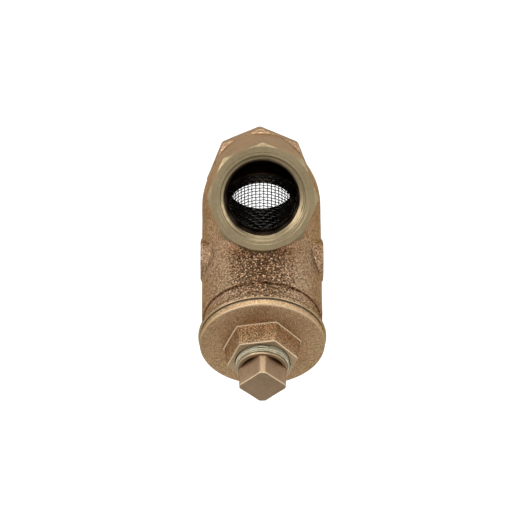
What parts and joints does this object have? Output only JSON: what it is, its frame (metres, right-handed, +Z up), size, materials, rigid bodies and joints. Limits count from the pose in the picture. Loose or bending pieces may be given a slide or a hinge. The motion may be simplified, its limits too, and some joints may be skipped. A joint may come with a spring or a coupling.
{
  "type": "y-strainer",
  "caption": "Cast bronze Y-strainer with threaded octagonal ends, a wire screen in a 45 degree branch, a screwed cap and a square-head blow-off plug.",
  "frame": {"origin": "on the axis of the pipe run, midway between the two end faces", "axes": "+X along the run in the direction of flow, towards the outlet; +Z up; the branch leans to +X and -Z at 45 degrees"},
  "size_m": [0.1386, 0.0512, 0.1023],
  "materials": {
    "cast_bronze": "sand-cast bronze, machined bright at the end faces, countersinks, threads and seat",
    "cap_bronze": "sand-cast bronze, machined bright on the boss's face, the flange's edge and the thread",
    "gasket_fibre": "matt compressed fibre sheet",
    "stainless_wire": "woven stainless wire",
    "stainless_sheet": "thin rolled stainless strip",
    "plug_bronze": "fine cast bronze with a machined thread",
    "sealing_tape": "pale waxy sealing tape in torn layers"
  },
  "bodies": {
    "casting": {"body": "cast_bronze"},
    "screen": {"screen_mesh": "stainless_wire", "screen_mouth_band": "stainless_sheet", "screen_foot_band": "stainless_sheet", "screen_seam_strip": "stainless_sheet"},
    "cap_seal": {"cap_gasket": "gasket_fibre"},
    "cap": {"retainer_cap": "cap_bronze"},
    "plug_seal": {"plug_tape": "sealing_tape"},
    "plug": {"blow_off_plug": "plug_bronze"}
  },
  "joints": [
    {"name": "screen_withdraw", "type": "slide", "parent": "casting", "child": "screen", "axis": [0.7071, 0, -0.7071], "range_m": [0, 0.08]},
    {"name": "cap_advance", "type": "slide", "parent": "screen", "child": "cap_seal", "axis": [0.7071, 0, -0.7071], "range_m": [0, 0.00953]},
    {"name": "cap_unscrew", "type": "hinge", "parent": "cap_seal", "child": "cap", "pos_m": [0, 0, 0], "axis": [0.7071, 0, -0.7071], "range_deg": [0, 2160]},
    {"name": "plug_advance", "type": "slide", "parent": "cap", "child": "plug_seal", "axis": [0.7071, 0, -0.7071], "range_m": [0, 0.01089]},
    {"name": "plug_unscrew", "type": "hinge", "parent": "plug_seal", "child": "plug", "pos_m": [0, 0, 0], "axis": [0.7071, 0, -0.7071], "range_deg": [0, 2160]}
  ],
  "couplings": [
    {"joint": "cap_unscrew", "follows": "cap_advance", "rad_per_m": 3957.9},
    {"joint": "plug_unscrew", "follows": "plug_advance", "rad_per_m": 3463.2}
  ]
}
